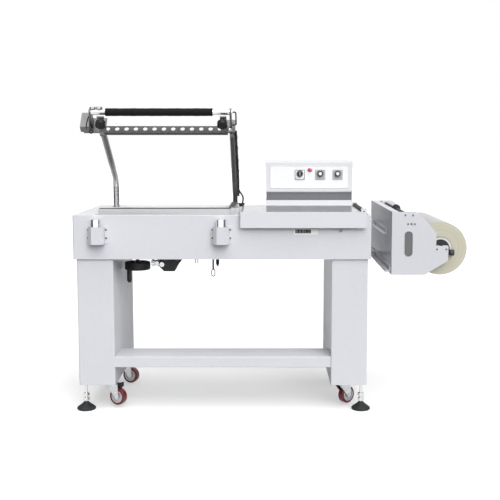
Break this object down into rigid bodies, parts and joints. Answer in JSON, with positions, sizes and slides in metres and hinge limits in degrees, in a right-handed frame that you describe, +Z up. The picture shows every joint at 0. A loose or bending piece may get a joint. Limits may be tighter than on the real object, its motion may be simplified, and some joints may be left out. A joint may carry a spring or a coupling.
{
  "type": "l bar sealer",
  "caption": "Semi-automatic L-bar film sealer: cabinet on legs, sprung sealing arm over a sealing well, feed tray, timer box and film roll unit.",
  "frame": {"origin": "middle of the machine's footprint on the floor, under the feet", "axes": "+X to the operator's right, along the machine; +Y to the back; +Z up"},
  "size_m": [1.658, 0.81, 1.2932],
  "materials": {
    "machine_paint": "fine satin powder coat",
    "deck_paint": "fine satin powder coat",
    "film_unit_paint": "satin powder coat",
    "dark_housing": "satin enamel",
    "panel_sheet": "matte foil with raised instruments",
    "neck_dark": "matte",
    "jaw_aluminium": "satin",
    "pad_silicone": "matte silicone with woven tape",
    "magnet_steel": "turned",
    "arm_steel": "satin",
    "arm_dark": "satin",
    "bar_steel": "satin",
    "blade_tape": "worn nichrome on insulating strip",
    "bright_steel": "bright zinc",
    "zinc": "zinc plated",
    "black_oxide": "black oxide",
    "foam": "closed-cell foam",
    "cable_jacket": "matte jacket",
    "black_plastic": "moulded",
    "black_matte": "moulded",
    "table_steel": "brushed",
    "nut_bronze": "machined bronze",
    "film": "wound shrink film on a card core",
    "roller_aluminium": "anodised",
    "tray_paint": "fine satin powder coat",
    "caster_wheel": "cast polyurethane on a nylon hub"
  },
  "bodies": {
    "frame": {"legs": "machine_paint", "bottom_beam": "machine_paint", "cabinet_body": "machine_paint", "top_deck": "deck_paint", "jaw_rails": "jaw_aluminium", "jaw_pads": "pad_silicone", "electromagnets": "magnet_steel", "magnet_covers": "machine_paint", "machine_screws": "bright_steel", "pivot_bearings": "zinc", "control_box": "machine_paint", "control_base": "neck_dark", "control_panel": "panel_sheet", "film_frame": "film_unit_paint", "lift_gearbox": "dark_housing", "drive_chain": "black_oxide", "eye_rod": "zinc", "cable_gland": "black_matte", "return_spring": "zinc"},
    "sealing_arm": {"pivot_shaft": "zinc", "left_arm_tube": "arm_steel", "right_arm_tube": "arm_dark", "seal_bars": "bar_steel", "seal_blades": "blade_tape", "end_box": "machine_paint", "end_brackets": "bar_steel", "handle_tube": "bright_steel", "foam_grip": "foam", "armature_discs": "black_oxide", "arm_cables": "cable_jacket", "arm_fasteners": "bright_steel"},
    "lift_table": {"work_table": "table_steel", "lift_rods": "zinc"},
    "lift_nut": {"lift_nut": "nut_bronze"},
    "handwheel": {"handwheel": "black_matte"},
    "handwheel_grip": {"handwheel_grip": "black_plastic"},
    "switch_knob": {"switch_knob": "black_plastic"},
    "timer_dial_left": {"timer_dial_left": "black_plastic"},
    "timer_dial_right": {"timer_dial_right": "black_plastic"},
    "film_roll": {"film_roll": "film", "roll_shaft": "zinc"},
    "lower_idler": {"lower_idler": "roller_aluminium"},
    "perforator_wheels": {"perforator_wheels": "black_oxide"},
    "roll_lock_knob": {"roll_lock_knob": "black_plastic"},
    "feed_tray": {"feed_tray": "tray_paint"},
    "tray_roller": {"tray_roller": "cable_jacket"},
    "caster_fork_front_left": {"caster_fork_front_left": "zinc"},
    "caster_wheel_front_left": {"caster_wheel_front_left": "caster_wheel"},
    "caster_fork_front_right": {"caster_fork_front_right": "zinc"},
    "caster_wheel_front_right": {"caster_wheel_front_right": "caster_wheel"},
    "caster_fork_rear_left": {"caster_fork_rear_left": "zinc"},
    "caster_wheel_rear_left": {"caster_wheel_rear_left": "caster_wheel"},
    "caster_fork_rear_right": {"caster_fork_rear_right": "zinc"},
    "caster_wheel_rear_right": {"caster_wheel_rear_right": "caster_wheel"},
    "brake_pedal_front_left": {"brake_pedal_front_left": "black_matte"},
    "brake_pedal_front_right": {"brake_pedal_front_right": "black_matte"},
    "levelling_foot_front_left": {"levelling_foot_front_left": "black_matte"},
    "levelling_foot_front_right": {"levelling_foot_front_right": "black_matte"},
    "levelling_foot_rear_left": {"levelling_foot_rear_left": "black_matte"},
    "levelling_foot_rear_right": {"levelling_foot_rear_right": "black_matte"}
  },
  "joints": [
    {"name": "arm_hinge", "type": "hinge", "parent": "frame", "child": "sealing_arm", "pos_m": [-0.196, 0.215, 0.822], "axis": [1, 0, 0], "range_deg": [0, 40.5], "stiffness_Nm_per_rad": 12.1, "springref_deg": -110.92, "deforming": ["return_spring"]},
    {"name": "handwheel_turn", "type": "hinge", "parent": "frame", "child": "handwheel", "pos_m": [-0.59, -0.075, 0.635], "axis": [0, 0, 1], "range_deg": [-4950, 1575]},
    {"name": "table_lift", "type": "slide", "parent": "frame", "child": "lift_table", "axis": [0, 0, 1], "range_m": [-0.11, 0.035]},
    {"name": "lift_nut_turn", "type": "hinge", "parent": "frame", "child": "lift_nut", "pos_m": [-0.438, -0.075, 0.635], "axis": [0, 0, 1], "range_deg": [-4950, 1575]},
    {"name": "handwheel_grip_spin", "type": "hinge", "parent": "handwheel", "child": "handwheel_grip", "pos_m": [-0.628, -0.075, 0.549], "axis": [0, 0, 1], "continuous": true},
    {"name": "switch_knob_turn", "type": "hinge", "parent": "frame", "child": "switch_knob", "pos_m": [0.147, 0.19718, 0.99911], "axis": [0, 0.9967, -0.0814], "range_deg": [0, 90]},
    {"name": "timer_dial_left_turn", "type": "hinge", "parent": "frame", "child": "timer_dial_left", "pos_m": [0.2434, 0.19718, 0.99911], "axis": [0, 0.9967, -0.0814], "range_deg": [0, 300]},
    {"name": "timer_dial_right_turn", "type": "hinge", "parent": "frame", "child": "timer_dial_right", "pos_m": [0.326, 0.19718, 0.99911], "axis": [0, 0.9967, -0.0814], "range_deg": [0, 300]},
    {"name": "film_roll_spin", "type": "hinge", "parent": "frame", "child": "film_roll", "pos_m": [0.718, 0.005, 0.705], "axis": [0, 1, 0], "continuous": true},
    {"name": "lower_idler_spin", "type": "hinge", "parent": "frame", "child": "lower_idler", "pos_m": [0.5907, 0.005, 0.81], "axis": [0, 1, 0], "continuous": true},
    {"name": "perforator_spin", "type": "hinge", "parent": "frame", "child": "perforator_wheels", "pos_m": [0.5805, 0.005, 0.847], "axis": [0, 1, 0], "continuous": true},
    {"name": "roll_lock_turn", "type": "hinge", "parent": "frame", "child": "roll_lock_knob", "pos_m": [0.7335, -0.371, 0.69], "axis": [1, 0, 0], "range_deg": [0, 360]},
    {"name": "tray_slide", "type": "slide", "parent": "frame", "child": "feed_tray", "axis": [0, -1, 0], "range_m": [0, 0.12]},
    {"name": "tray_roller_spin", "type": "hinge", "parent": "feed_tray", "child": "tray_roller", "pos_m": [0.394, -0.095, 0.8603], "axis": [0, 1, 0], "continuous": true},
    {"name": "caster_swivel_front_left", "type": "hinge", "parent": "frame", "child": "caster_fork_front_left", "pos_m": [-0.6835, -0.258, 0.117], "axis": [0, 0, 1], "continuous": true},
    {"name": "caster_wheel_spin_front_left", "type": "hinge", "parent": "caster_fork_front_left", "child": "caster_wheel_front_left", "pos_m": [-0.6554, -0.2711, 0.049], "axis": [0.4226, 0.9063, 0], "continuous": true},
    {"name": "caster_swivel_front_right", "type": "hinge", "parent": "frame", "child": "caster_fork_front_right", "pos_m": [0.3155, -0.258, 0.117], "axis": [0, 0, 1], "continuous": true},
    {"name": "caster_wheel_spin_front_right", "type": "hinge", "parent": "caster_fork_front_right", "child": "caster_wheel_front_right", "pos_m": [0.33925, -0.23807, 0.049], "axis": [-0.6428, 0.766, 0], "continuous": true},
    {"name": "caster_swivel_rear_left", "type": "hinge", "parent": "frame", "child": "caster_fork_rear_left", "pos_m": [-0.6835, 0.117, 0.117], "axis": [0, 0, 1], "continuous": true},
    {"name": "caster_wheel_spin_rear_left", "type": "hinge", "parent": "caster_fork_rear_left", "child": "caster_wheel_rear_left", "pos_m": [-0.65437, 0.1064, 0.049], "axis": [0.342, 0.9397, 0], "continuous": true},
    {"name": "caster_swivel_rear_right", "type": "hinge", "parent": "frame", "child": "caster_fork_rear_right", "pos_m": [0.3155, 0.117, 0.117], "axis": [0, 0, 1], "continuous": true},
    {"name": "caster_wheel_spin_rear_right", "type": "hinge", "parent": "caster_fork_rear_right", "child": "caster_wheel_rear_right", "pos_m": [0.34235, 0.1325, 0.049], "axis": [-0.5, 0.866, 0], "continuous": true},
    {"name": "brake_pedal_press_front_left", "type": "hinge", "parent": "caster_fork_front_left", "child": "brake_pedal_front_left", "pos_m": [-0.65269, -0.27237, 0.0962], "axis": [0.4226, 0.9063, 0], "range_deg": [0, 12]},
    {"name": "brake_pedal_press_front_right", "type": "hinge", "parent": "caster_fork_front_right", "child": "brake_pedal_front_right", "pos_m": [0.34155, -0.23614, 0.0962], "axis": [-0.6428, 0.766, 0], "range_deg": [0, 12]},
    {"name": "levelling_foot_turn_front_left", "type": "hinge", "parent": "frame", "child": "levelling_foot_front_left", "pos_m": [-0.789, -0.302, 0.117], "axis": [0, 0, 1], "continuous": true},
    {"name": "levelling_foot_turn_front_right", "type": "hinge", "parent": "frame", "child": "levelling_foot_front_right", "pos_m": [0.397, -0.302, 0.117], "axis": [0, 0, 1], "continuous": true},
    {"name": "levelling_foot_turn_rear_left", "type": "hinge", "parent": "frame", "child": "levelling_foot_rear_left", "pos_m": [-0.789, 0.173, 0.117], "axis": [0, 0, 1], "continuous": true},
    {"name": "levelling_foot_turn_rear_right", "type": "hinge", "parent": "frame", "child": "levelling_foot_rear_right", "pos_m": [0.397, 0.173, 0.117], "axis": [0, 0, 1], "continuous": true}
  ],
  "couplings": [
    {"joint": "table_lift", "follows": "handwheel_turn", "m_per_rad": 0.0012732},
    {"joint": "lift_nut_turn", "follows": "handwheel_turn", "ratio": 1}
  ]
}
